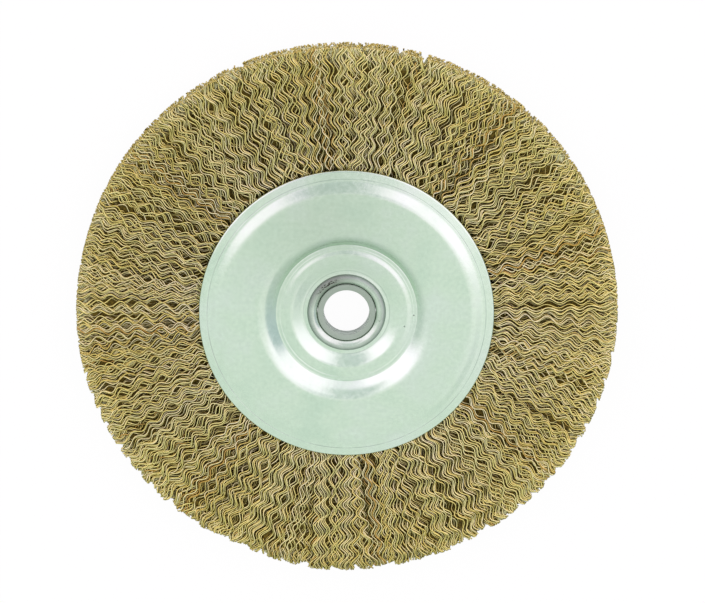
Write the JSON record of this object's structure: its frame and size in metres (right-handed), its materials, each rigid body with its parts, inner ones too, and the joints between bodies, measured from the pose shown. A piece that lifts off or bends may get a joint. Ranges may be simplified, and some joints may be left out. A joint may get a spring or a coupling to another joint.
{
  "type": "wire wheel brush",
  "caption": "Crimped wire wheel brush: two dished steel side plates clamp a ring of brassy crimped wire, with a rolled eyelet and a reducer bush at the arbor hole.",
  "frame": {"origin": "centre of the arbor hole, on the wheel's middle plane, halfway between the two side plates", "axes": "+Z along the wheel's axis, out of the front side plate, which lies upwards; the wheel is round, and +Y is the top of the picture"},
  "size_m": [0.1498, 0.1498, 0.0112],
  "materials": {
    "side_plate": "zinc plated, satin with a faint green tint",
    "eyelet": "bare steel, dull, with rust specks on the rolled rim",
    "reducer": "matte plated steel",
    "core_ring": "bare drawn steel",
    "wire": "brass-coated steel wire, crimped"
  },
  "bodies": {
    "root": {"front_plate": "side_plate", "rear_plate": "side_plate", "hub_eyelet": "eyelet", "bore_reducer": "reducer", "core_ring": "core_ring", "wire_tuft_01": "wire", "wire_tuft_02": "wire", "wire_tuft_03": "wire", "wire_tuft_04": "wire", "wire_tuft_05": "wire", "wire_tuft_06": "wire", "wire_tuft_07": "wire", "wire_tuft_08": "wire", "wire_tuft_09": "wire", "wire_tuft_10": "wire", "wire_tuft_11": "wire", "wire_tuft_12": "wire", "wire_tuft_13": "wire", "wire_tuft_14": "wire", "wire_tuft_15": "wire", "wire_tuft_16": "wire", "wire_tuft_17": "wire", "wire_tuft_18": "wire", "wire_tuft_19": "wire", "wire_tuft_20": "wire", "wire_tuft_21": "wire", "wire_tuft_22": "wire", "wire_tuft_23": "wire", "wire_tuft_24": "wire", "wire_tuft_25": "wire", "wire_tuft_26": "wire", "wire_tuft_27": "wire", "wire_tuft_28": "wire", "wire_tuft_29": "wire", "wire_tuft_30": "wire", "wire_tuft_31": "wire", "wire_tuft_32": "wire"}
  },
  "joints": []
}
